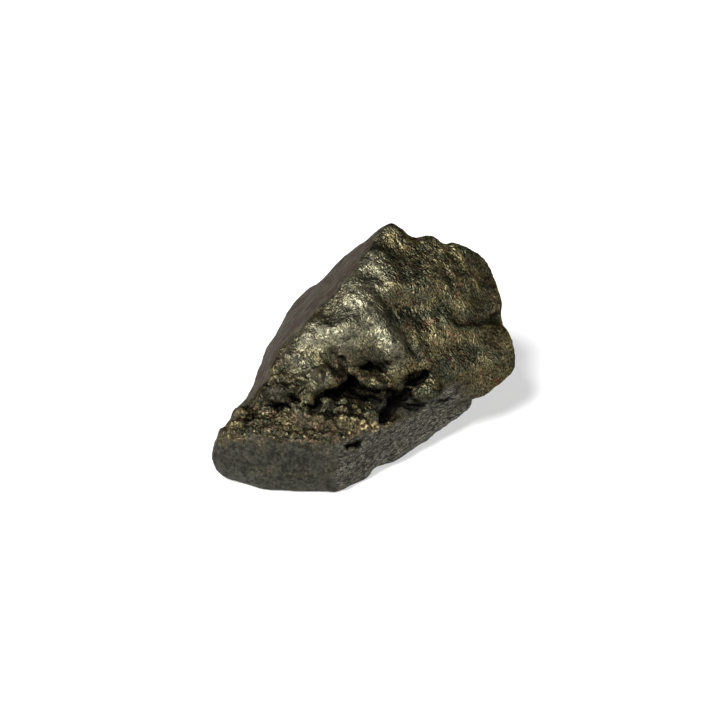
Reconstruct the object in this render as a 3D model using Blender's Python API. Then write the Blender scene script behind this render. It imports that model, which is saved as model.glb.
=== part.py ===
"""A hand specimen of magnetite: one worn, solid lump of ore.

The lump is a block on a slab. The slab is a layer about 12 mm thick that stands out in front
as a ledge. The block above it has one broad face, a planar flank on the left and a peak at
the back. A broken seam runs between the two, with slots that reach in under the block.
The frame has +X to the right, +Y to the back and +Z up, with the origin under the middle of
the bounding box. Corners are in millimetres, for a lump 60 mm long.
"""

import bmesh
import bpy
from mathutils import Vector, noise

MM = 0.001
VOXEL = 0.7 * MM
ROUNDING_STEPS = 5
FINAL_TRIANGLES = 7000
SLOT_LEAD = 2.5
GRIT_DEPTH = 0.28
GRIT_SIZE = 4.5

BLOCK = {
    "peak": (4.9, 20.6, 34.0),
    "peak_right": (7.4, 20.0, 33.4),
    "second_peak": (13.4, 20.2, 31.7),
    "ridge_top": (1.4, 14.9, 32.6),
    "ridge_high": (-6.7, 3.2, 27.5),
    "ridge_middle": (-12.2, -2.8, 24.0),
    "ridge_low": (-16.8, -7.7, 20.0),
    "ridge_foot": (-21.4, -10.9, 15.0),
    "flank_top": (0.9, 20.8, 30.8),
    "flank_high": (-4.2, 21.3, 26.0),
    "flank_middle": (-14.2, 20.1, 16.0),
    "flank_low": (-20.5, 8.1, 11.5),
    "flank_foot": (-22.2, -1.0, 11.0),
    "crest_high": (-1.4, 8.4, 31.0),
    "crest_middle": (-4.5, -4.0, 25.0),
    "crest_low": (4.5, -5.0, 21.6),
    "crest_right": (7.9, 5.0, 28.0),
    "face_middle": (16.9, 6.0, 25.0),
    "shoulder_back": (20.2, 18.3, 30.4),
    "shoulder_right": (25.2, 19.0, 26.9),
    "right_high": (26.8, 16.1, 24.0),
    "right_middle": (27.4, 11.8, 20.6),
    "tip_high": (29.6, 6.2, 15.6),
    "tip": (30.9, 2.8, 13.5),
    "tip_low": (29.9, 0.5, 11.3),
    "under_right": (26.9, -1.9, 9.7),
    "under_corner": (22.2, -4.5, 7.7),
    "brow_left": (-17.9, -4.8, 20.0),
    "brow_middle": (-12.7, -6.3, 21.0),
    "brow_front": (-6.9, -7.1, 21.5),
    "brow_right": (5.9, -6.6, 18.8),
    "brow_far_right": (14.8, -5.6, 16.6),
    "brow_end": (22.9, -2.5, 12.0),
    "lip_left": (-20.1, -11.0, 15.0),
    "lip_middle": (-12.7, -12.0, 15.0),
    "lip_front": (-6.9, -11.7, 15.5),
    "lip_right": (5.9, -11.2, 13.0),
    "lip_far_right": (14.9, -6.6, 10.5),
    "back_middle": (9.0, 24.6, 17.0),
    "back_left_middle": (-9.0, 23.4, 13.0),
    "back_right_middle": (25.6, 17.4, 12.0),
    "right_foot": (25.0, 9.0, 4.0),
    "back_right_foot": (23.0, 16.0, 5.0),
    "back_foot": (6.0, 22.6, 6.0),
    "back_left_foot": (-15.0, 19.0, 7.0),
    "left_foot": (-21.6, -2.0, 8.0),
}

SLAB = {
    "left_low": (-28.9, -18.6, -0.6),
    "left_middle": (-29.9, -18.6, 5.0),
    "left_high": (-28.4, -18.3, 10.0),
    "left_seam": (-23.8, -14.7, 13.8),
    "front_left_low": (-23.6, -21.6, -1.0),
    "front_low": (-18.9, -23.8, -1.0),
    "corner_low": (-5.3, -24.6, -1.0),
    "corner_right_low": (-3.0, -22.8, -1.0),
    "right_front_low": (0.6, -17.3, -1.0),
    "right_low": (6.4, -12.8, -0.6),
    "right_back_low": (12.9, -7.4, 0.8),
    "right_end_low": (18.2, -3.8, 2.8),
    "right_end": (21.6, -2.4, 4.8),
    "front_left_high": (-25.7, -21.0, 11.5),
    "front_high": (-18.3, -22.3, 12.5),
    "front_right_high": (-10.6, -23.6, 12.5),
    "corner_high": (-2.9, -21.6, 12.0),
    "right_front_high": (3.9, -15.8, 12.0),
    "right_high": (10.8, -11.1, 11.0),
    "right_back_high": (17.9, -5.0, 8.0),
    "right_foot_low": (20.6, 5.6, -1.0),
    "back_right_low": (19.0, 14.0, -1.0),
    "back_low": (4.0, 19.6, -1.0),
    "back_left_low": (-14.0, 16.0, -1.0),
    "left_back_low": (-22.0, 2.0, -1.0),
    "back_right_high": (22.0, 14.0, 9.0),
    "back_high": (5.0, 22.6, 10.0),
    "back_left_high": (-16.0, 18.0, 9.0),
    "left_back_high": (-21.9, -1.0, 7.4),
    "left_side": (-24.9, -10.6, 8.6),
}

SEAM = {
    "left": (-22.6, -13.2, 13.6),
    "far_left": (-22.6, -9.0, 10.8),
    "far_left_back": (-22.0, -2.0, 9.6),
    "left_front": (-18.0, -17.6, 13.6),
    "middle_front": (-9.0, -18.6, 13.8),
    "right_front": (0.0, -17.6, 12.6),
    "left_back": (-20.0, -12.6, 16.0),
    "middle_back": (-12.6, -12.9, 16.4),
    "front_back": (-4.9, -12.0, 16.0),
    "right_back": (6.0, -11.6, 13.0),
    "low_left": (-20.0, -10.0, 8.0),
    "low_right": (6.0, -8.0, 8.0),
    "inside": (-6.0, 0.0, 12.0),
}

# Each lump has a centre and three radii.
LUMPS = {
    "cliff_lobe": ((-8.6, -9.9, 17.0), (6.6, 3.0, 2.6)),
    "left_lobe": ((-17.3, -11.2, 15.6), (3.6, 2.8, 2.4)),
    "ledge_lump": ((-10.4, -14.2, 14.8), (2.0, 1.7, 1.7)),
    "tongue": ((1.4, -10.2, 16.3), (4.4, 2.2, 1.6)),
    "wedged_lump": ((11.6, -8.2, 12.8), (3.8, 2.6, 2.2)),
}

# Each slot has the way in, a depth, and a route of (point, width of its mouth).
SLOTS = {
    "main_slot": (
        (0.0, 1.0, 0.0),
        5.0,
        [
            ((-8.2, -13.0, 15.7), 0.5),
            ((-3.7, -11.4, 16.2), 2.2),
            ((0.5, -11.8, 14.6), 1.9),
            ((4.6, -12.0, 13.2), 2.0),
            ((8.4, -11.2, 11.4), 1.5),
            ((12.2, -9.8, 10.6), 1.1),
            ((16.4, -7.0, 9.6), 0.4),
        ],
    ),
    "cross_slot": (
        (0.1, 0.82, -0.57),
        4.5,
        [
            ((10.6, -8.6, 15.2), 1.0),
            ((7.4, -10.6, 13.9), 1.9),
            ((5.4, -12.6, 12.6), 2.4),
            ((3.6, -15.4, 11.9), 1.0),
        ],
    ),
    "right_slot": (
        (0.0, 1.0, -0.2),
        4.0,
        [
            ((7.6, -9.4, 14.9), 1.4),
            ((10.4, -8.0, 15.7), 2.0),
            ((13.4, -6.4, 16.4), 0.7),
        ],
    ),
    "brow_slot": (
        (0.0, 1.0, 0.1),
        3.0,
        [
            ((-2.6, -8.4, 19.1), 0.8),
            ((1.0, -8.4, 18.5), 1.5),
            ((4.6, -8.2, 18.2), 1.8),
        ],
    ),
}

# Each groove has a half width, a depth and a route along the skin.
GROOVES = {
    "back_seam": (
        2.6,
        1.1,
        [
            (-22.6, -1.0, 9.4),
            (-18.4, 14.0, 9.0),
            (-14.6, 19.0, 9.4),
            (-4.0, 22.4, 10.2),
            (7.0, 23.8, 9.6),
            (17.0, 20.2, 9.0),
            (24.6, 15.6, 7.6),
        ],
    ),
    "right_groove": (2.2, 0.5, [(27.6, 9.0, 18.6), (23.4, 6.4, 20.6), (18.8, 4.0, 22.0)]),
    "brow_joint": (1.8, 0.7, [(-6.4, -7.0, 21.6), (-4.6, -8.4, 19.6), (-2.6, -9.8, 17.2)]),
}

# Each dent has a centre, a radius and a depth.
DENTS = {
    "peak_notch": ((9.7, 19.4, 32.6), 3.0, 1.9),
    "small_notch": ((15.8, 19.0, 31.0), 2.4, 1.1),
    "flank_dent": ((-9.4, 21.4, 21.6), 4.5, 0.9),
    "right_notch": ((27.8, 8.4, 18.2), 4.0, 1.5),
    "left_notch": ((-22.6, -6.0, 11.4), 3.0, 0.8),
    "slab_notch": ((2.2, -16.6, 0.0), 4.0, 1.1),
    "brow_hollow": ((-6.4, -7.6, 20.6), 3.0, 1.0),
    "crest_hollow": ((-4.6, -5.4, 22.6), 3.2, 0.7),
    "back_scar": ((-4.0, 23.0, 14.0), 9.0, 1.6),
    "back_right_scar": ((18.0, 19.0, 16.0), 8.0, 1.4),
    "left_scar": ((-25.0, -6.0, 6.0), 6.0, 1.0),
}


def clear_scene():
    for obj in list(bpy.data.objects):
        bpy.data.objects.remove(obj)


def link(name, mesh):
    obj = bpy.data.objects.new(name, mesh)
    bpy.context.scene.collection.objects.link(obj)
    return obj


def finish(name, bm):
    bmesh.ops.recalc_face_normals(bm, faces=bm.faces)
    mesh = bpy.data.meshes.new(name)
    bm.to_mesh(mesh)
    bm.free()
    return link(name, mesh)


def hull(name, corners):
    bm = bmesh.new()
    for corner in corners:
        bm.verts.new(Vector(corner) * MM)
    made = bmesh.ops.convex_hull(bm, input=bm.verts)
    bmesh.ops.delete(bm, geom=made["geom_interior"], context="VERTS")
    return finish(name, bm)


def lump(name, centre, radii):
    bm = bmesh.new()
    bmesh.ops.create_icosphere(bm, subdivisions=3, radius=MM)
    bmesh.ops.scale(bm, vec=Vector(radii), verts=bm.verts)
    bmesh.ops.translate(bm, vec=Vector(centre) * MM, verts=bm.verts)
    return finish(name, bm)


def slot(name, way_in, depth, route):
    """A wedge along a route, open at its mouth and closing to an edge inside."""
    inward = Vector(way_in).normalized()
    points = [Vector(point) for point, width in route]
    across = (points[-1] - points[0]).cross(inward).normalized()
    bm = bmesh.new()
    sections = []
    for point, (_, width) in zip(points, route):
        corners = (
            point - inward * SLOT_LEAD + across * width * 0.7,
            point - inward * SLOT_LEAD - across * width * 0.7,
            point + inward * depth * 0.5 - across * width * 0.45,
            point + inward * depth,
            point + inward * depth * 0.5 + across * width * 0.45,
        )
        sections.append([bm.verts.new(corner * MM) for corner in corners])
    for one, two in zip(sections, sections[1:]):
        for i in range(len(one)):
            j = (i + 1) % len(one)
            bm.faces.new((one[i], one[j], two[j], two[i]))
    bm.faces.new(sections[0])
    bm.faces.new(reversed(sections[-1]))
    return finish(name, bm)


def boolean(obj, other, operation):
    other.hide_render = True
    other.display_type = "WIRE"
    modifier = obj.modifiers.new(other.name, "BOOLEAN")
    modifier.object = other
    modifier.operation = operation


def apply_modifiers(obj):
    graph = bpy.context.evaluated_depsgraph_get()
    mesh = bpy.data.meshes.new_from_object(obj.evaluated_get(graph))
    obj.modifiers.clear()
    obj.data = mesh


def remesh(obj):
    modifier = obj.modifiers.new("worn", "REMESH")
    modifier.mode = "VOXEL"
    modifier.voxel_size = VOXEL
    smooth = obj.modifiers.new("rounding", "SMOOTH")
    smooth.factor = 0.5
    smooth.iterations = ROUNDING_STEPS
    apply_modifiers(obj)


def fall_off(distance, radius):
    """One at the middle of a dent or groove, and nothing from its radius outwards."""
    reach = min(distance / radius, 1.0)
    return (1.0 - reach * reach) ** 2


def distance_to_route(point, route):
    nearest = float("inf")
    for start, end in zip(route, route[1:]):
        along = Vector(end) - Vector(start)
        step = (point - Vector(start)).dot(along) / along.length_squared
        foot = Vector(start) + along * min(max(step, 0.0), 1.0)
        nearest = min(nearest, (point - foot).length)
    return nearest


def worn_depth(point):
    """How far the dents and grooves press in at a point, all in millimetres."""
    depth = 0.0
    for middle, radius, deepest in DENTS.values():
        depth += deepest * fall_off((point - Vector(middle)).length, radius)
    for radius, deepest, route in GROOVES.values():
        depth += deepest * fall_off(distance_to_route(point, route), radius)
    return depth


def weather(obj):
    """Press the dents in and roughen the skin along its normals."""
    mesh = obj.data
    places = []
    for vertex in mesh.vertices:
        point = vertex.co / MM
        grit = GRIT_DEPTH * noise.fractal(point / GRIT_SIZE, 1.0, 2.0, 3)
        places.append(vertex.co + vertex.normal * MM * (grit - worn_depth(point)))
    for vertex, place in zip(mesh.vertices, places):
        vertex.co = place
    mesh.update()


def thin_out(obj):
    count = sum(len(face.vertices) - 2 for face in obj.data.polygons)
    modifier = obj.modifiers.new("thin_out", "DECIMATE")
    modifier.ratio = FINAL_TRIANGLES / count
    modifier.use_collapse_triangulate = True
    apply_modifiers(obj)


def cut_base(obj):
    """Cut the underside off level, so the lump rests on a flat face at z = 0."""
    bm = bmesh.new()
    bm.from_mesh(obj.data)
    everything = bm.verts[:] + bm.edges[:] + bm.faces[:]
    cut = bmesh.ops.bisect_plane(
        bm, geom=everything, plane_co=(0, 0, 0), plane_no=(0, 0, 1), clear_inner=True
    )
    rim = [item for item in cut["geom_cut"] if isinstance(item, bmesh.types.BMEdge)]
    bmesh.ops.triangle_fill(bm, edges=rim, use_beauty=True, use_dissolve=False)
    bmesh.ops.recalc_face_normals(bm, faces=bm.faces)
    bm.to_mesh(obj.data)
    bm.free()


def centre(obj):
    places = [vertex.co for vertex in obj.data.vertices]
    middle_x = (min(p.x for p in places) + max(p.x for p in places)) / 2
    middle_y = (min(p.y for p in places) + max(p.y for p in places)) / 2
    for vertex in obj.data.vertices:
        vertex.co.x -= middle_x
        vertex.co.y -= middle_y


def ore_material():
    material = bpy.data.materials.new("magnetite_ore")
    material.use_nodes = True
    shader = material.node_tree.nodes["Principled BSDF"]
    shader.inputs["Base Color"].default_value = (0.075, 0.070, 0.050, 1.0)
    shader.inputs["Metallic"].default_value = 0.7
    shader.inputs["Roughness"].default_value = 0.42
    return material


def main():
    clear_scene()
    stone = hull("magnetite", BLOCK.values())
    boolean(stone, hull("slab", SLAB.values()), "UNION")
    boolean(stone, hull("seam", SEAM.values()), "UNION")
    for name, (middle, radii) in LUMPS.items():
        boolean(stone, lump(name, middle, radii), "UNION")
    for name, (way_in, depth, route) in SLOTS.items():
        boolean(stone, slot(name, way_in, depth, route), "DIFFERENCE")
    remesh(stone)
    weather(stone)
    thin_out(stone)
    cut_base(stone)
    centre(stone)
    stone.data.materials.append(ore_material())


main()
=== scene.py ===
"""Looks of the magnetite specimen: its fine surface, its ore, a pale studio and the camera."""

import math

import bpy
import numpy as np
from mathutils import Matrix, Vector, noise
from mathutils.bvhtree import BVHTree


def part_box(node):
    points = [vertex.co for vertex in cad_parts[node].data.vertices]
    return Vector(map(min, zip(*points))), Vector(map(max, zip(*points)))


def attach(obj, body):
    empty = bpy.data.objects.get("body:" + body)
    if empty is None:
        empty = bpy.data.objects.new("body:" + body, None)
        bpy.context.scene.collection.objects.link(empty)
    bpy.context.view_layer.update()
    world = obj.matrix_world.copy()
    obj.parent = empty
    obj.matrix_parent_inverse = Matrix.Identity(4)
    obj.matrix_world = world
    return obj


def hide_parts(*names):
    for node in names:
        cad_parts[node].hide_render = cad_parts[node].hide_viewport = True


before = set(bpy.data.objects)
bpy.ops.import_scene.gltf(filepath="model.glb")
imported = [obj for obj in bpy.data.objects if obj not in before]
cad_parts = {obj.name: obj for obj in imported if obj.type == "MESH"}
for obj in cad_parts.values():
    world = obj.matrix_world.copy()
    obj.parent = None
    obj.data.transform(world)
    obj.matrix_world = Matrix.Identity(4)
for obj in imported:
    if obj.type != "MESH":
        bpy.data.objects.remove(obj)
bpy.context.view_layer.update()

MM = 0.001
NODE = "magnetite"

# The fine mesh: its voxel in millimetres, and the rounds of smoothing after each remesh.
FINE_VOXEL = 0.36
FACET_SMOOTHING = 14
CARVED_SMOOTHING = 1

# Rounds of blurring: many to round the slab's edges, few to rub down sharp points.
SLAB_EDGE_ROUNDS = 50
WEAR_ROUNDS = 16

# Rounds of blurring that measure how deep a vertex lies in dents of three sizes; the material lays
# painted shade by these depths.
DENTS = {"hollow": 30, "pit": 4, "dip": 160}

# Cracks wander by this much, in bends of this size, and thin out by a share of their half width.
SHAKE_REACH = 0.7
SHAKE_SIZE = 2.4
CRACK_TAPER = 0.4

# How far a vertex looks for rock that shades it, and how far off the surface it looks from.
SHADE_REACH = 6.0
SHADE_OFFSET = 0.2

# Directions of the stone's main facets and of its grain.
FLANK_NORMAL = Vector((-0.73, 0.22, 0.64)).normalized()
FACE_NORMAL = Vector((0.12, -0.56, 0.82)).normalized()
RIDGE_LINE = Vector((0.59, 0.67, 0.45)).normalized()
FACE_GRAIN = Vector((0.50, -0.62, -0.45)).normalized()
FLANK_ACROSS = FLANK_NORMAL.cross(RIDGE_LINE).normalized()
SIDE_NORMAL = Vector((0.73, -0.68, 0.0)).normalized()
SLAB_COURSE = Vector((0.68, 0.73, 0.10)).normalized()
UP = Vector((0.0, 0.0, 1.0))
CRACK_OPENING = Vector((0.1, -0.8, 0.6))

# The camera: degrees above the table, millimetres from its aim, and its lens.
CAMERA_ELEVATION = 35.0
CAMERA_DISTANCE = 450.0
CAMERA_LENS = 112.5

# The camera's aim: sideways and backwards from the middle of the stone's box, and its height.
AIM_SHIFT = (-1.45, 0.83)
AIM_HEIGHT = 14.0

# The floor, in metres. It lies a little lower than the base, so the two never share a plane.
FLOOR_HALF = 1.5
FLOOR_DROP = 0.0001


# ---------------------------------------------------------------- mesh helpers


def link(name, data):
    obj = bpy.data.objects.new(name, data)
    bpy.context.scene.collection.objects.link(obj)
    return obj


def apply_modifiers(obj):
    graph = bpy.context.evaluated_depsgraph_get()
    mesh = bpy.data.meshes.new_from_object(obj.evaluated_get(graph))
    obj.modifiers.clear()
    obj.data = mesh


def read(mesh, what):
    values = np.empty(len(mesh.vertices) * 3)
    mesh.vertices.foreach_get(what, values)
    return values.reshape(-1, 3)


def read_points(obj):
    """The vertices in millimetres, one row each."""
    return read(obj.data, "co") / MM


def write_points(obj, points):
    obj.data.vertices.foreach_set("co", (points * MM).ravel())
    obj.data.update()


def read_normals(obj):
    return read(obj.data, "normal")


def ramp(values, low, high):
    """Smooth step from 0 at low to 1 at high; low may be above high."""
    t = np.clip((values - low) / (high - low), 0.0, 1.0)
    return t * t * (3.0 - 2.0 * t)


def fall_off(distance, radius):
    """1 at distance 0, falling smoothly to 0 at the radius."""
    t = np.clip(distance / radius, 0.0, 1.0)
    return (1.0 - t * t) ** 2


def distance_to(points, centre):
    """The distance of each point to a centre."""
    return np.linalg.norm(points - np.array(centre), axis=1)


def route_distance(points, route, taper=0.0):
    """Distance to a route of straight legs. A taper adds to it towards both ends."""
    nearest = np.full(len(points), np.inf)
    legs = len(route) - 1
    for leg in range(legs):
        start = np.array(route[leg], float)
        along = np.array(route[leg + 1], float) - start
        step = np.clip((points - start) @ along / (along @ along), 0.0, 1.0)
        feet = start + step[:, None] * along
        from_middle = np.abs(2.0 * (leg + step) / legs - 1.0)
        distance = np.linalg.norm(points - feet, axis=1) + taper * from_middle**3
        nearest = np.minimum(nearest, distance)
    return nearest


def fractal(points, size, octaves, seed):
    """Fractal noise from about -1 to 1, whose largest swells are size across."""
    shift = Vector((seed * 17.3, seed * -9.1, seed * 4.7))
    places = points / size
    return np.array([noise.fractal(Vector(p) + shift, 1.0, 2.0, octaves) for p in places])


def fractal_vectors(points, size, octaves, seeds):
    """One fractal noise for each of the three axes, side by side."""
    return np.stack([fractal(points, size, octaves, seed) for seed in seeds], axis=1)


def stretched(points, along, factor):
    """The points squeezed along a direction, so noise read from them runs out in streaks."""
    along = np.array(along)
    return points - np.outer(points @ along, along) * (1.0 - 1.0 / factor)


def knobs(points, size, seed):
    """Round bumps packed side by side, 1 at their tops and 0 in the creases between them."""
    shift = Vector((seed * 5.9, seed * 3.3, seed * -7.7))
    warp = fractal_vectors(points, size * 1.3, 2, (seed + 11, seed + 12, seed + 13))
    heights = []
    for p in points / size + warp * 0.45:
        distances, _ = noise.voronoi(Vector(p) + shift)
        heights.append(min(1.0, (distances[1] - distances[0]) * 1.6))
    return np.array(heights)


# ---------------------------------------------------------------- zones


def zones(points, normals):
    """Soft masks of the stone's regions, one value a vertex, with places in millimetres."""
    x, y, z = points.T
    up = normals[:, 2]
    flank = ramp(normals @ np.array(FLANK_NORMAL), 0.86, 0.95) * ramp(z, 9.0, 11.0)
    ragged_up = up + 0.25 * fractal(points, 2.2, 2, 9)
    ledge = ramp(ragged_up, 0.15, 0.75) * ramp(y, -10.6, -12.4) * ramp(x, 8.0, 5.0)
    layer_top = z + 0.8 * fractal(points, 4.0, 3, 10)
    front_slab = ramp(layer_top, 13.4, 12.0) * ramp(y, -3.0, -7.0)
    back_slab = ramp(layer_top, 8.0, 5.0)
    slab = np.maximum(front_slab, back_slab) * (1.0 - ledge)
    cliff = ramp(-normals[:, 1], 0.45, 0.7) * ramp(z, 10.5, 12.5) * ramp(z, 22.5, 20.0)
    cliff = cliff * ramp(y, -3.0, -5.0) * ramp(x, 20.0, 12.0) * (1.0 - ledge)
    rubble = ledge * ramp(y, -17.0, -18.6)
    ragged_side = normals @ np.array(SIDE_NORMAL) + 0.1 * fractal(points, 3.0, 3, 14)
    side = slab * ramp(ragged_side, 0.72, 0.96)
    back = ramp(normals[:, 1], 0.25, 0.5) * (1.0 - flank)
    face = ramp(normals @ np.array(FACE_NORMAL), 0.5, 0.75) * ramp(z, 13.0, 15.0)
    face = face * (1.0 - ledge) * (1.0 - flank) * (1.0 - back) * (1.0 - cliff)
    return {
        "flank": flank,
        "ledge": ledge,
        "slab": slab,
        "cliff": cliff,
        "back": back,
        "face": face,
        "rubble": rubble,
        "side": side,
    }


def unnamed(zone):
    """What is left of the surface outside the main regions."""
    main_regions = ("flank", "ledge", "slab", "cliff", "back", "face")
    return 1.0 - np.clip(sum(zone[name] for name in main_regions), 0.0, 1.0)


# ---------------------------------------------------------------- sculpting


# Each swell has a centre, a radius and a height, in millimetres; a hollow has a negative height.
SWELLS = {
    "upper_lobe": ((-1.8, 2.4, 27.8), 6.0, 1.1),
    "nose": ((-4.8, -4.1, 24.4), 5.4, 1.2),
    "left_brow": ((-10.2, -3.2, 24.2), 4.5, 0.8),
    "crest_end": ((4.9, -4.6, 21.4), 4.5, 1.2),
    "under_nose": ((-5.8, -6.3, 20.8), 2.6, 0.5),
    "left_knuckle": ((-7.6, -5.2, 24.0), 2.2, 0.6),
    "right_knuckle": ((-4.3, -5.8, 23.8), 2.7, 0.7),
    "peak": ((4.4, 20.4, 33.2), 6.0, 0.5),
    "far_left": ((-27.5, -18.5, 6.0), 8.0, 0.8),
    "left_lobe_top": ((-14.8, -7.8, 20.2), 2.6, 0.9),
    "cliff_lobe_front": ((-8.6, -12.6, 18.4), 4.6, 1.0),
    "cliff_lobe_left": ((-13.2, -12.0, 17.8), 3.4, 0.6),
    "left_lobe_front": ((-18.6, -13.8, 16.2), 3.0, 0.7),
    "seam_lump": ((-11.2, -15.6, 15.9), 1.9, 0.9),
    "seam_nose": ((-13.6, -16.9, 14.2), 1.7, 1.1),
    "seam_end": ((-4.2, -17.4, 13.6), 1.8, 0.8),
    "mid_right_patch": ((14.0, 8.0, 27.4), 6.0, 0.6),
    "mid_hollow": ((7.4, 1.6, 25.8), 5.5, -0.8),
    "right_hollow": ((22.6, 8.3, 22.3), 4.5, -0.8),
    "tip_swell": ((24.8, 1.2, 16.6), 4.5, 0.4),
}

MAIN_GAP_ROUTE = [
    (-9.8, -15.0, 15.2),
    (-8.2, -13.9, 15.9),
    (-4.6, -11.0, 15.4),
    (-1.4, -11.0, 14.0),
    (3.4, -10.4, 12.0),
]

CROSS_GAP_ROUTE = [
    (7.6, -8.4, 12.2),
    (5.0, -9.8, 11.6),
    (4.2, -11.8, 11.2),
    (3.4, -14.4, 11.6),
    (2.6, -16.2, 11.8),
]

# Each fold has a half width, a height and a route, in millimetres; a groove goes below zero.
FOLDS = {
    "crest_line": (4.4, 1.1, [(-0.6, 1.0, 27.2), (1.0, -1.5, 25.3), (4.8, -5.0, 21.4)]),
    "front_foot": (5.0, 0.45, [(-27.5, -18.5, 2.5), (-19.0, -23.4, 2.5), (-5.0, -24.2, 2.5)]),
    "edge_rib": (0.9, 0.6, [(-16.0, -7.2, 20.9), (-15.3, -8.4, 20.2), (-13.8, -9.6, 19.4)]),
    "brow_joint": (0.7, -1.0, [(-5.6, -7.2, 20.6), (-4.4, -8.3, 18.9), (-3.0, -9.8, 16.9)]),
    "recess": (0.6, -0.7, [(17.4, -6.0, 10.6), (18.4, -5.6, 12.0), (20.6, -4.6, 11.9)]),
    "slab_pit": (0.6, -0.5, [(-15.8, -23.8, 4.8), (-13.8, -24.1, 4.8)]),
    "right_groove": (1.6, -0.5, [(26.2, 9.3, 18.2), (22.1, 5.2, 20.4), (18.1, 3.6, 21.5)]),
}

# Cracks are folds too. They are deep, and painted shade in the material makes them look dark; they
# wander and they taper.
CRACKS = {
    "main_gap": (1.25, -1.1, MAIN_GAP_ROUTE),
    "cross_gap": (1.85, -1.6, CROSS_GAP_ROUTE),
    "under_cliff_left": (0.8, -1.1, [(-15.6, -14.2, 15.9), (-13.0, -15.0, 15.9)]),
    "under_lump": (0.8, -1.1, [(-12.6, -16.0, 15.2), (-10.6, -16.6, 14.9), (-8.6, -15.0, 15.4)]),
    "under_lobe": (0.9, -1.0, [(-19.6, -15.0, 14.8), (-17.6, -15.4, 14.6), (-15.0, -15.8, 14.6)]),
    "left_pits": (0.8, -0.9, [(-23.8, -16.2, 13.5), (-21.0, -18.0, 13.2)]),
    "brow_slot": (0.95, -1.4, [(-2.2, -8.1, 18.6), (0.5, -7.6, 18.4), (3.6, -7.7, 17.6)]),
    "right_slot": (1.1, -1.5, [(7.6, -8.6, 14.4), (10.0, -7.0, 15.0), (12.6, -6.3, 16.2)]),
    "low_slot": (0.9, -1.3, [(6.4, -9.8, 11.4), (8.6, -10.1, 10.7), (11.4, -10.7, 11.1)]),
    "low_crack": (0.6, -0.8, [(12.4, -10.3, 11.5), (14.2, -8.4, 10.8), (16.4, -6.7, 10.2)]),
    "slab_crack": (0.85, -0.9, [(-4.8, -22.2, 9.4), (-3.0, -21.6, 9.7), (-1.2, -20.2, 10.1)]),
}

# Where handling and weather have polished the crests, and where their colour is made paler as a
# painted highlight: half width and route, in millimetres.
POLISH_AND_HIGHLIGHT = {
    "left_lobes": (8.0, [(-0.8, 9.0, 30.4), (-1.8, 2.4, 27.8), (-5.0, -4.6, 24.0)]),
    "brow": (5.5, [(-5.0, -4.6, 24.0), (-11.2, -4.2, 23.5)]),
    "crest": (6.0, [(0.9, -1.5, 25.2), (4.8, -5.2, 21.1)]),
    "cliff_lobe": (3.5, [(-9.0, -12.2, 18.8), (-14.7, -7.4, 20.7)]),
    "seam_nose": (1.6, [(-14.2, -16.2, 14.8), (-12.8, -17.4, 14.4)]),
}

RIDGE_ROUTE = [
    (0.9, 14.7, 32.4),
    (-7.0, 3.0, 27.4),
    (-12.6, -3.0, 24.0),
    (-17.2, -8.0, 20.0),
]

# Painted shade, a dull dark brown, in the dips, under the nose and brow, along the ridge and
# towards the right edge: half width, strength and route, in millimetres.
PAINTED_SHADE_PATCHES = {
    "under_nose": (2.8, 0.7, [(-6.2, -6.2, 20.8), (-5.0, -7.8, 19.2)]),
    "ridge": (2.2, 0.6, RIDGE_ROUTE),
    "valley": (2.8, 0.6, [(-7.5, -3.4, 25.8), (-5.4, -3.9, 26.4), (-1.2, -2.2, 27.2)]),
    "under_brow": (2.4, 0.4, [(-4.6, -6.9, 21.4), (1.5, -6.9, 20.2)]),
    "right_dip": (4.0, 0.4, [(22.6, 8.3, 22.3), (24.1, 2.0, 16.8)]),
    "right_edge": (7.0, 0.4, [(25.0, 16.0, 25.0), (27.0, 11.0, 20.0)]),
    "brow": (1.8, 0.6, [(-2.4, -7.6, 19.4), (4.2, -7.4, 18.4)]),
    "left_lobe": (5.0, 1.0, [(-20.5, -14.0, 16.0), (-17.0, -13.0, 17.0)]),
    "cliff_foot": (2.2, 0.5, [(-15.0, -13.0, 16.6), (-9.0, -13.6, 16.8)]),
}

# Spots of brassy grains along the ledge: radius and centre, in millimetres.
GILT = (
    (1.0, (-5.0, -17.6, 13.8)),
    (1.6, (-0.6, -18.6, 12.4)),
    (1.6, (1.6, -18.0, 11.3)),
)


def shaken(points):
    """The points moved about by half a millimetre or so, which makes cracks wander."""
    return points + fractal_vectors(points, SHAKE_SIZE, 4, (8, 21, 34)) * SHAKE_REACH


def stroke_heights(points):
    """The summed heights of all swells, folds and cracks."""
    height = np.zeros(len(points))
    for centre, radius, amount in SWELLS.values():
        height += amount * fall_off(distance_to(points, centre), radius)
    for half_width, amount, route in FOLDS.values():
        height += amount * fall_off(route_distance(points, route), half_width)
    wandering = shaken(points)
    for half_width, amount, route in CRACKS.values():
        distance = route_distance(wandering, route, CRACK_TAPER * half_width)
        height += amount * fall_off(distance, half_width)
    return height


def gloom(points):
    """1 in the middle of the cracks, where no light reaches, and 0 away from them."""
    deepest = np.zeros(len(points))
    wandering = shaken(points)
    for half_width, depth, route in CRACKS.values():
        reach = 0.85 * half_width
        for share in (0.0, 0.5, 1.0):
            raised = wandering - np.array(CRACK_OPENING) * depth * share
            distance = route_distance(raised, route, CRACK_TAPER * half_width)
            deepest = np.maximum(deepest, ramp(distance, reach, 0.5 * reach))
    return deepest


def polish_and_highlight(points):
    """1 on the polished crests, where the colour also gets a painted highlight, and 0 away from
    them.
    """
    shine = np.zeros(len(points))
    for half_width, route in POLISH_AND_HIGHLIGHT.values():
        shine = np.maximum(shine, fall_off(route_distance(points, route), half_width))
    return shine


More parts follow.
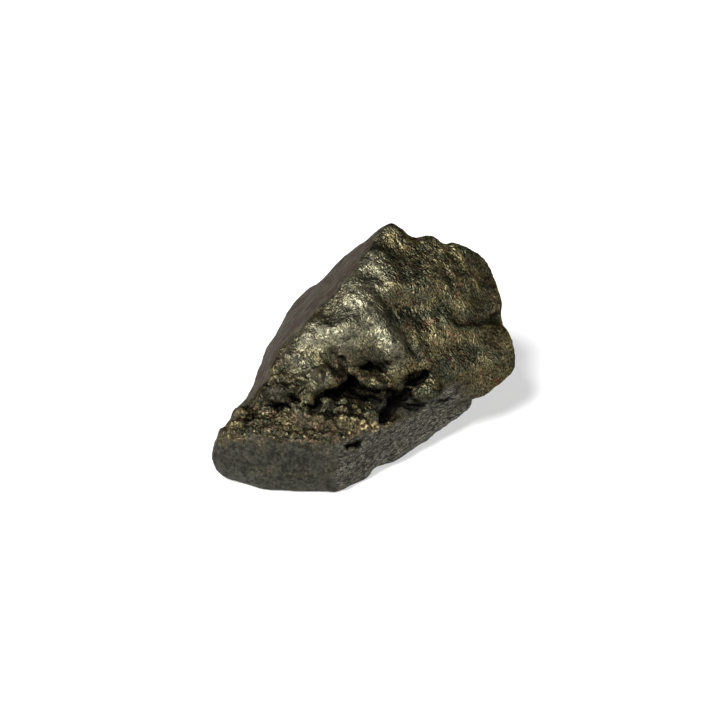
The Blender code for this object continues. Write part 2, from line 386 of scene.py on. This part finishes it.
def painted_shade_depth(points):
    """How strongly painted shade darkens each point, from 0 to 1."""
    depth = np.zeros(len(points))
    for half_width, strength, route in PAINTED_SHADE_PATCHES.values():
        depth = np.maximum(depth, strength * fall_off(route_distance(points, route), half_width))
    return depth


def gilding(points):
    """1 in the middle of the brassy spots and 0 away from them."""
    share = np.zeros(len(points))
    for radius, centre in GILT:
        share = np.maximum(share, fall_off(distance_to(points, centre), radius))
    return share


def above_base(points):
    """0 on the flat base and 1 a little above it, so that the base stays flat."""
    return ramp(points[:, 2], 0.0, 0.8)


def push(obj, points, normals, height):
    """Moves the vertices along their normals, but never below the base."""
    moved = points + normals * (height * above_base(points))[:, None]
    moved[:, 2] = np.maximum(moved[:, 2], 0.0)
    write_points(obj, moved)


def carve(obj):
    """The shapes that can be named: swells, folds, cracks and the lumps along the seam."""
    points = read_points(obj)
    normals = read_normals(obj)
    zone = zones(points, normals)
    waves = 0.7 * zone["face"] + 0.6 * zone["back"] + 0.3 * unnamed(zone)
    swell = fractal(points, 6.0, 3, 1) * waves
    seam = zone["ledge"] - zone["rubble"]
    lumpy = 0.6 * zone["cliff"] + 1.8 * seam + 0.4 * zone["rubble"]
    lumps = (knobs(points, 3.6, 2) - 0.5) * lumpy
    push(obj, points, normals, swell + lumps + stroke_heights(points))


def roughen(obj):
    """The broken and weathered skin, from 2 mm rubble down to what the mesh can hold."""
    points = read_points(obj)
    normals = read_normals(obj)
    zone = zones(points, normals)
    seam = zone["ledge"] - zone["rubble"]
    knobbly = 0.15 * zone["cliff"] + 0.25 * seam + 0.7 * zone["rubble"] + 0.1 * zone["back"]
    rubble = (knobs(points, 1.5, 3) - 0.5) * knobbly
    grainy = 0.22 * zone["face"] + 0.3 * zone["cliff"] + 0.3 * seam
    grain = fractal(stretched(points, FACE_GRAIN, 2.5), 1.8, 3, 4) * grainy
    lines = fractal(stretched(points, RIDGE_LINE, 6.0), 1.2, 2, 5) * 0.12 * zone["flank"]
    courses = fractal(stretched(points, SLAB_COURSE, 5.0), 1.6, 3, 7) * 0.28 * zone["side"]
    skinned = (
        0.22 * zone["slab"] + 0.18 * unnamed(zone) + 0.18 * zone["back"] + 0.3 * zone["rubble"]
    )
    skin = fractal(points, 1.8, 3, 6) * skinned
    push(obj, points, normals, rubble + grain + lines + courses + skin)
    return zone


def sky_fan():
    """Ways to look at the sky: straight up, and two rings that lean away from it."""
    ways = [UP]
    for tilt, count in ((35.0, 5), (65.0, 7)):
        lean = math.sin(math.radians(tilt))
        rise = math.cos(math.radians(tilt))
        for step in range(count):
            turn = 2.0 * math.pi * step / count
            ways.append(Vector((lean * math.cos(turn), lean * math.sin(turn), rise)))
    return ways


def open_share(obj):
    """The share of the sky that each vertex near the seam sees, and 1 for all the others."""
    points = read_points(obj)
    normals = read_normals(obj)
    near = (points[:, 1] < 0.0) & (points[:, 2] > 4.0) & (points[:, 2] < 24.0)
    faces = [tuple(face.vertices) for face in obj.data.polygons]
    tree = BVHTree.FromPolygons([Vector(p) for p in points], faces)
    fan = sky_fan()
    share = np.ones(len(points))
    for index in np.flatnonzero(near):
        normal = Vector(normals[index])
        turn_up = UP.rotation_difference(normal)
        start = Vector(points[index]) + normal * SHADE_OFFSET
        hits = sum(tree.ray_cast(start, turn_up @ way, SHADE_REACH)[0] is not None for way in fan)
        share[index] = 1.0 - hits / len(fan)
    return share


def blurred(obj, rounds):
    """The vertices after many rounds of moving half way to the mean of their neighbours."""
    points = read_points(obj)
    size = len(points)
    edges = np.empty(len(obj.data.edges) * 2, int)
    obj.data.edges.foreach_get("vertices", edges)
    one, two = edges.reshape(-1, 2).T
    count = np.bincount(one, minlength=size) + np.bincount(two, minlength=size)
    for _ in range(rounds):
        for axis in range(3):
            line = points[:, axis]
            total = np.bincount(one, line[two], size) + np.bincount(two, line[one], size)
            points[:, axis] = 0.5 * line + 0.5 * total / count
    return points


def along_normals(obj, offsets):
    """The part of each vertex's offset that points out of the stone."""
    return np.einsum("ij,ij->i", offsets, read_normals(obj))


def hollowness(obj, rounds):
    """How far each vertex lies below the mean of its surroundings, in millimetres."""
    return along_normals(obj, blurred(obj, rounds) - read_points(obj))


def round_slab_edges(obj):
    """Rounds the edges in front of the ledge, which are more worn than the others."""
    points = read_points(obj)
    share = ramp(points[:, 2], 14.5, 12.5) * ramp(points[:, 1], -14.0, -18.0) * above_base(points)
    points += (blurred(obj, SLAB_EDGE_ROUNDS) - points) * share[:, None]
    write_points(obj, points)


def wear_points(obj):
    """Rubs down the sharp points that carving leaves on the edges, in two goes."""
    for _ in range(2):
        points = read_points(obj)
        smooth = blurred(obj, WEAR_ROUNDS)
        proud = along_normals(obj, points - smooth)
        share = ramp(proud, 0.2, 0.5) * above_base(points)
        write_points(obj, points + (smooth - points) * share[:, None])


def store(obj, name, values):
    attribute = obj.data.attributes.new(name, "FLOAT", "POINT")
    attribute.data.foreach_set("value", np.asarray(values, np.float32))


def remesh(obj, smoothing):
    modifier = obj.modifiers.new("remesh", "REMESH")
    modifier.mode = "VOXEL"
    modifier.voxel_size = FINE_VOXEL * MM
    smooth = obj.modifiers.new("smooth", "SMOOTH")
    smooth.factor = 0.5
    smooth.iterations = smoothing
    apply_modifiers(obj)


def fine_stone():
    """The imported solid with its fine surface, and the measures that its material reads."""
    obj = link("stone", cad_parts[NODE].data.copy())
    obj.data.materials.clear()
    remesh(obj, FACET_SMOOTHING)
    round_slab_edges(obj)
    carve(obj)
    remesh(obj, CARVED_SMOOTHING)
    wear_points(obj)
    zone = roughen(obj)
    for name, values in zone.items():
        store(obj, name, values)
    points = read_points(obj)
    store(obj, "polish_and_highlight", polish_and_highlight(points))
    store(obj, "open", open_share(obj))
    store(obj, "gloom", gloom(points))
    store(obj, "painted_shade", painted_shade_depth(points))
    store(obj, "gilt", gilding(points))
    for name, rounds in DENTS.items():
        store(obj, name, hollowness(obj, rounds))
    obj.data.shade_smooth()
    return obj


# ---------------------------------------------------------------- material


class Nodes:
    """A short way to write a node tree. Every value may be a number or another node's output."""

    def __init__(self, owner):
        owner.use_nodes = True
        self.tree = owner.node_tree
        self.tree.nodes.clear()

    def add(self, kind, **settings):
        node = self.tree.nodes.new(kind)
        for name, value in settings.items():
            setattr(node, name, value)
        return node

    def feed(self, socket, value):
        if isinstance(value, bpy.types.NodeSocket):
            self.tree.links.new(value, socket)
        else:
            socket.default_value = value

    def attribute(self, name):
        return self.add("ShaderNodeAttribute", attribute_name=name).outputs["Fac"]

    def math(self, operation, one, two):
        node = self.add("ShaderNodeMath", operation=operation)
        self.feed(node.inputs[0], one)
        self.feed(node.inputs[1], two)
        return node.outputs[0]

    def plus(self, one, two):
        return self.math("ADD", one, two)

    def minus(self, one, two):
        return self.math("SUBTRACT", one, two)

    def times(self, one, two):
        return self.math("MULTIPLY", one, two)

    def larger(self, one, two):
        return self.math("MAXIMUM", one, two)

    def ramp(self, value, low, high, out_low=0.0, out_high=1.0):
        """Smooth step from out_low at low to out_high at high; low may be above high."""
        node = self.add("ShaderNodeMapRange", interpolation_type="SMOOTHSTEP")
        self.feed(node.inputs["Value"], value)
        self.feed(node.inputs["From Min"], low)
        self.feed(node.inputs["From Max"], high)
        self.feed(node.inputs["To Min"], out_low)
        self.feed(node.inputs["To Max"], out_high)
        return node.outputs["Result"]

    def mix(self, factor, one, two):
        """Blends two colours."""
        node = self.add("ShaderNodeMix", data_type="RGBA")
        self.feed(node.inputs["Factor"], factor)
        self.feed(node.inputs[6], one)
        self.feed(node.inputs[7], two)
        return node.outputs[2]

    def mix_value(self, factor, one, two):
        node = self.add("ShaderNodeMix", data_type="FLOAT")
        self.feed(node.inputs["Factor"], factor)
        self.feed(node.inputs[2], one)
        self.feed(node.inputs[3], two)
        return node.outputs[0]

    def dot(self, vector, direction):
        node = self.add("ShaderNodeVectorMath", operation="DOT_PRODUCT")
        self.feed(node.inputs[0], vector)
        self.feed(node.inputs[1], tuple(direction))
        return node.outputs["Value"]

    def scaled(self, vector, factor):
        node = self.add("ShaderNodeVectorMath", operation="SCALE")
        self.feed(node.inputs[0], vector)
        self.feed(node.inputs["Scale"], factor)
        return node.outputs[0]

    def combine(self, x, y, z):
        node = self.add("ShaderNodeCombineXYZ")
        for socket, value in zip(node.inputs, (x, y, z)):
            self.feed(socket, value)
        return node.outputs[0]

    def noise(self, vector, scale, detail, roughness=0.55, distortion=0.0):
        """Noise with its scale in waves a metre."""
        node = self.add("ShaderNodeTexNoise")
        self.feed(node.inputs["Vector"], vector)
        self.feed(node.inputs["Scale"], scale)
        self.feed(node.inputs["Detail"], detail)
        self.feed(node.inputs["Roughness"], roughness)
        self.feed(node.inputs["Distortion"], distortion)
        return node.outputs["Fac"]

    def output(self, kind, shader):
        out = self.add(kind)
        self.feed(out.inputs["Surface"], shader.outputs[0])


# Colours of the metallic ore.
OLIVE = (0.185, 0.160, 0.080, 1)
GREEN_GREY = (0.128, 0.132, 0.082, 1)
RUSTY = (0.190, 0.105, 0.060, 1)
GOLDEN = (0.36, 0.29, 0.165, 1)
# The pale tint of the polished crests is partly a painted highlight.
POLISHED_HIGHLIGHT = (0.365, 0.35, 0.24, 1)
# Near black brown for the painted shade patches.
PAINTED_SHADE_BROWN = (0.026, 0.023, 0.016, 1)

# Colours of the planar flank on the left.
FLANK_DARK = (0.006, 0.005, 0.004, 1)
FLANK_PALE = (0.062, 0.051, 0.037, 1)
FLANK_RED = (0.030, 0.018, 0.013, 1)

# Colours of the slab: its matte front and its layered side.
MATTE_DARK = (0.006, 0.0058, 0.0042, 1)
MATTE_PALE = (0.037, 0.036, 0.0265, 1)
LAYER_DARK = (0.006, 0.0055, 0.0045, 1)
LAYER_PALE = (0.100, 0.093, 0.071, 1)
PORE = (0.006, 0.005, 0.004, 1)

# Colours of the crumbs on the ledge.
RUST = (0.095, 0.068, 0.044, 1)
CRUMB = (0.42, 0.33, 0.18, 1)
BRASS = (0.66, 0.50, 0.26, 1)

# Colours of the painted shade in the dents and the cracks, and the tint of glancing reflections on
# the metal.
HOLLOW_PAINTED_SHADE = (0.003, 0.0028, 0.0025, 1)
PIT_PAINTED_SHADE = (0.005, 0.0045, 0.0035, 1)
CRACK_PAINTED_SHADE = (0.0015, 0.0014, 0.0012, 1)
REFLECTION = (0.45, 0.42, 0.36, 1)

# The height of the relief that is too fine for the mesh, in metres.
BUMP_HEIGHT = 0.00022

# What the material reads from the mesh.
MEASURES = (
    "face",
    "flank",
    "ledge",
    "cliff",
    "slab",
    "polish_and_highlight",
    "hollow",
    "pit",
    "open",
    "rubble",
    "side",
    "gloom",
    "dip",
    "painted_shade",
    "gilt",
)


def streak_places(n, place, shine):
    """Coordinates whose second axis runs along the grain, bent into whorls on the crests."""
    across = FACE_NORMAL.cross(FACE_GRAIN).normalized()
    whorl = n.times(n.minus(n.noise(place, 150.0, 1.0), 0.5), 0.003)
    curl = n.times(n.minus(n.noise(place, 420.0, 1.0), 0.5), n.times(shine, 0.004))
    u = n.plus(n.dot(place, across), n.plus(whorl, curl))
    v = n.times(n.dot(place, FACE_GRAIN), 0.55)
    w = n.times(n.dot(place, FACE_NORMAL), 0.6)
    return n.combine(u, v, w)


def line_places(n, place):
    """Coordinates for fine lines that run along the ridge."""
    return n.combine(n.dot(place, FLANK_ACROSS), n.dot(place, RIDGE_LINE * 0.12), 0.0)


def course_places(n, place):
    """Coordinates for thin layers that run along the slab's side."""
    along = n.dot(place, SLAB_COURSE * 0.32)
    outward = n.dot(place, SIDE_NORMAL * 0.5)
    return n.combine(along, outward, n.dot(place, UP))


def ore_textures(n, place, shine):
    """The noises that the colours and the relief share, from coarse to fine."""
    streaks = streak_places(n, place, shine)
    return {
        "blotch": n.noise(place, 220.0, 4.0, 0.65),
        "patch": n.noise(place, 520.0, 3.0, 0.65),
        "clumps": n.noise(streaks, 1300.0, 2.0, 0.6, 0.3),
        "pores": n.ramp(n.noise(place, 1300.0, 2.0, 0.6), 0.36, 0.28),
        "grit": n.noise(place, 1500.0, 3.0, 0.6),
        "flakes": n.noise(streaks, 2500.0, 1.0, 0.6, 0.3),
        "lines": n.noise(line_places(n, place), 3000.0, 4.0, 0.65, 0.4),
        "courses": n.noise(course_places(n, place), 3000.0, 4.0, 0.65),
        "speck": n.noise(place, 3600.0, 3.0, 0.65),
        "fibre": n.noise(streaks, 4200.0, 2.0, 0.6, 0.3),
    }


def ore_tint(n, part, texture):
    """Olive and green-grey, with rusty patches and golden clumps, and paler where polished, which
    is partly a painted highlight.
    """
    tint = n.mix(n.ramp(texture["blotch"], 0.44, 0.60), OLIVE, GREEN_GREY)
    tint = n.mix(n.ramp(texture["patch"], 0.54, 0.66, 0.0, 0.8), tint, RUSTY)
    fewer_on_cliff = n.ramp(part["cliff"], 0.0, 1.0, 1.0, 0.35)
    tint = n.mix(n.times(n.ramp(texture["clumps"], 0.56, 0.68), fewer_on_cliff), tint, GOLDEN)
    return n.mix(n.times(part["polish_and_highlight"], 0.75), tint, POLISHED_HIGHLIGHT)


def ore_light(n, part, texture):
    """How bright the ore is: dark between its fibres and off the main faces, with painted shade in
    its dips and painted light on its crests, partly standing for wear.
    """
    # Polished crests keep more light between their fibres, partly a painted highlight.
    darkest = n.ramp(part["polish_and_highlight"], 0.0, 1.0, 0.12, 0.32)
    fibres = n.ramp(texture["fibre"], 0.38, 0.60, darkest, 1.0)
    light = n.times(fibres, n.ramp(texture["blotch"], 0.36, 0.60, 1.0, 0.55))
    seam = n.larger(part["ledge"], part["cliff"])
    # Painted shade in the broad dips and painted light on the crests, partly standing for wear.
    on_face = n.ramp(part["dip"], -0.5, 0.7, 1.2, 0.45)
    on_seam = n.ramp(part["dip"], -0.5, 1.2, 0.75, 0.45)
    shade_and_wear = n.mix_value(seam, on_face, on_seam)
    shade_and_wear = n.times(shade_and_wear, n.ramp(n.larger(part["face"], seam), 0.0, 1.0, 0.55, 1.0))
    return n.times(light, shade_and_wear)


def flank_colour(n, texture):
    """Fine lines along the ridge, reddish in patches."""
    lined = n.mix(n.ramp(texture["lines"], 0.40, 0.60), FLANK_DARK, FLANK_PALE)
    return n.mix(n.ramp(texture["blotch"], 0.46, 0.62, 0.0, 0.8), lined, FLANK_RED)


def slab_colour(n, place, part, texture):
    """Mottled grey with dark pores, and thin layers on the side."""
    mottle = n.plus(n.times(texture["grit"], 0.6), n.times(texture["patch"], 0.4))
    matte = n.mix(n.ramp(mottle, 0.40, 0.58), MATTE_DARK, MATTE_PALE)
    layered = n.mix(n.ramp(texture["courses"], 0.42, 0.58), LAYER_DARK, LAYER_PALE)
    layered = n.scaled(layered, n.ramp(texture["speck"], 0.42, 0.60, 0.5, 1.7))
    matte = n.mix(part["side"], matte, layered)
    matte = n.scaled(matte, n.ramp(n.noise(place, 110.0, 3.0, 0.6), 0.35, 0.65, 0.75, 1.25))
    return n.mix(texture["pores"], matte, PORE)


def with_crumbs(n, part, texture, colour):
    """The colour with rust, golden crumbs and brassy grains on the ledge."""
    rust = n.times(part["rubble"], n.ramp(texture["patch"], 0.46, 0.60))
    colour = n.mix(n.times(rust, 0.5), colour, RUST)
    crumbs = n.times(part["rubble"], n.ramp(texture["grit"], 0.60, 0.68, 0.0, 0.8))
    colour = n.mix(crumbs, colour, CRUMB)
    brass = n.times(n.ramp(part["gilt"], 0.0, 0.6), n.ramp(texture["grit"], 0.47, 0.58))
    return n.mix(n.times(brass, 0.8), colour, BRASS)


def ore_colour(n, place, part, texture, crack_shade):
    """The ore with its painted shade patches, the duller parts laid over it, and painted shade in
    its dents and cracks.
    """
    tint = ore_tint(n, part, texture)
    colour = n.scaled(tint, ore_light(n, part, texture))
    # Painted shade patches in the dips, along the ridge and towards the right edge.
    colour = n.mix(part["painted_shade"], colour, PAINTED_SHADE_BROWN)
    colour = n.mix(n.times(part["flank"], 0.9), colour, flank_colour(n, texture))
    colour = n.mix(n.times(part["slab"], 0.95), colour, slab_colour(n, place, part, texture))
    colour = with_crumbs(n, part, texture, colour)
    # Painted shade: darker in the dents and the pits, and nearly without light in the cracks.
    colour = n.mix(n.ramp(part["hollow"], 0.3, 1.0), colour, HOLLOW_PAINTED_SHADE)
    colour = n.mix(n.ramp(part["pit"], 0.03, 0.14, 0.0, 0.6), colour, PIT_PAINTED_SHADE)
    return n.mix(crack_shade, colour, CRACK_PAINTED_SHADE)


def ore_bump(n, part, texture):
    """The surface normal bent by relief that is too fine for the mesh."""
    metal = n.plus(n.times(texture["fibre"], 0.3), n.times(texture["clumps"], 1.6))
    metal = n.plus(metal, texture["flakes"])
    crumbly = n.plus(n.times(texture["speck"], 0.6), n.times(texture["grit"], 2.0))
    layers = n.times(texture["courses"], n.times(part["side"], 2.0))
    matte = n.minus(n.plus(n.times(texture["speck"], 0.7), layers), texture["pores"])
    relief = n.mix_value(part["rubble"], metal, crumbly)
    relief = n.mix_value(part["slab"], relief, matte)
    relief = n.mix_value(part["flank"], relief, texture["lines"])
    bump = n.add("ShaderNodeBump")
    n.feed(bump.inputs["Strength"], 1.0)
    n.feed(bump.inputs["Distance"], BUMP_HEIGHT)
    n.feed(bump.inputs["Height"], relief)
    return bump.outputs["Normal"]


def ore_material():
    """Metallic ore, which turns nearly matte on the slab and matte on the flank."""
    material = bpy.data.materials.new("ore")
    n = Nodes(material)
    place = n.add("ShaderNodeTexCoord").outputs["Object"]
    part = {name: n.attribute(name) for name in MEASURES}
    texture = ore_textures(n, place, part["polish_and_highlight"])
    # Painted shade in the cracks: their middle, and the vertices near the seam that see little
    # sky.
    crack_shade = n.larger(part["gloom"], n.ramp(part["open"], 0.75, 0.35))
    dull = n.larger(part["slab"], part["flank"])
    dark = n.larger(part["flank"], crack_shade)
    grained = n.ramp(texture["speck"], 0.3, 0.7, 0.40, 0.52)
    rough = n.minus(grained, n.times(part["polish_and_highlight"], 0.02))
    shader = n.add("ShaderNodeBsdfPrincipled")
    n.feed(shader.inputs["Base Color"], ore_colour(n, place, part, texture, crack_shade))
    n.feed(shader.inputs["Metallic"], n.mix_value(dull, 1.0, n.mix_value(part["flank"], 0.3, 0.0)))
    n.feed(shader.inputs["Specular IOR Level"], n.mix_value(dark, 0.5, 0.04))
    n.feed(shader.inputs["Specular Tint"], REFLECTION)
    n.feed(shader.inputs["Roughness"], n.mix_value(dull, rough, 0.60))
    n.feed(shader.inputs["Normal"], ore_bump(n, part, texture))
    n.output("ShaderNodeOutputMaterial", shader)
    return material


# ---------------------------------------------------------------- studio


def table_material():
    """A light table: part of its white is its own glow, so that the shadow stays faint."""
    material = bpy.data.materials.new("table")
    n = Nodes(material)
    shader = n.add("ShaderNodeBsdfPrincipled")
    n.feed(shader.inputs["Base Color"], (0.50, 0.50, 0.50, 1))
    n.feed(shader.inputs["Roughness"], 0.9)
    n.feed(shader.inputs["Emission Color"], (1, 1, 1, 1))
    n.feed(shader.inputs["Emission Strength"], 0.5)
    n.output("ShaderNodeOutputMaterial", shader)
    return material


def floor():
    half = FLOOR_HALF
    mesh = bpy.data.meshes.new("floor")
    corners = [(-half, -half, 0), (half, -half, 0), (half, half, 0), (-half, half, 0)]
    mesh.from_pydata(corners, [], [(0, 1, 2, 3)])
    obj = link("floor", mesh)
    obj.location.z = -FLOOR_DROP
    mesh.materials.append(table_material())


def soft_light(name, direction, strength, spread):
    """A round patch of light far away: strength in watts a square metre, width in degrees."""
    light = bpy.data.lights.new(name, "SUN")
    light.energy = strength
    light.angle = math.radians(spread)
    obj = link(name, light)
    obj.rotation_mode = "QUATERNION"
    obj.rotation_quaternion = (-Vector(direction)).to_track_quat("-Z", "Y")


def sky(world):
    """White at the horizon, like the walls round a table, and dim overhead."""
    n = Nodes(world)
    direction = n.add("ShaderNodeTexCoord").outputs["Generated"]
    grey = n.ramp(n.dot(direction, UP), 0.10, 0.42, 1.0, 0.05)
    background = n.add("ShaderNodeBackground")
    n.feed(background.inputs["Color"], n.combine(grey, grey, grey))
    n.output("ShaderNodeOutputWorld", background)


def studio():
    floor()
    world = bpy.data.worlds.new("studio")
    sky(world)
    bpy.context.scene.world = world
    soft_light("key", (-0.42, -0.38, 0.82), 6.2, 25.0)
    soft_light("fill", (0.75, -0.60, 0.50), 1.0, 35.0)
    bpy.context.scene.view_settings.view_transform = "Standard"


def camera(low, high):
    """Looks along +Y and down, at a point close to the middle of the stone's box."""
    elevation = math.radians(CAMERA_ELEVATION)
    centre = (low + high) / 2
    sideways, backwards = AIM_SHIFT
    target = Vector((centre.x + sideways * MM, centre.y + backwards * MM, AIM_HEIGHT * MM))
    back = Vector((0.0, -math.cos(elevation), math.sin(elevation)))
    lens = bpy.data.cameras.new("camera")
    lens.lens = CAMERA_LENS
    lens.clip_start = 0.01
    lens.clip_end = 10.0
    obj = link("camera", lens)
    obj.location = target + back * (CAMERA_DISTANCE * MM)
    obj.rotation_mode = "QUATERNION"
    obj.rotation_quaternion = (-back).to_track_quat("-Z", "Y")
    bpy.context.scene.camera = obj


def main():
    low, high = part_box(NODE)
    camera(low, high)
    studio()
    stone = fine_stone()
    stone.data.materials.append(ore_material())
    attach(stone, "root")
    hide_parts(NODE)


main()
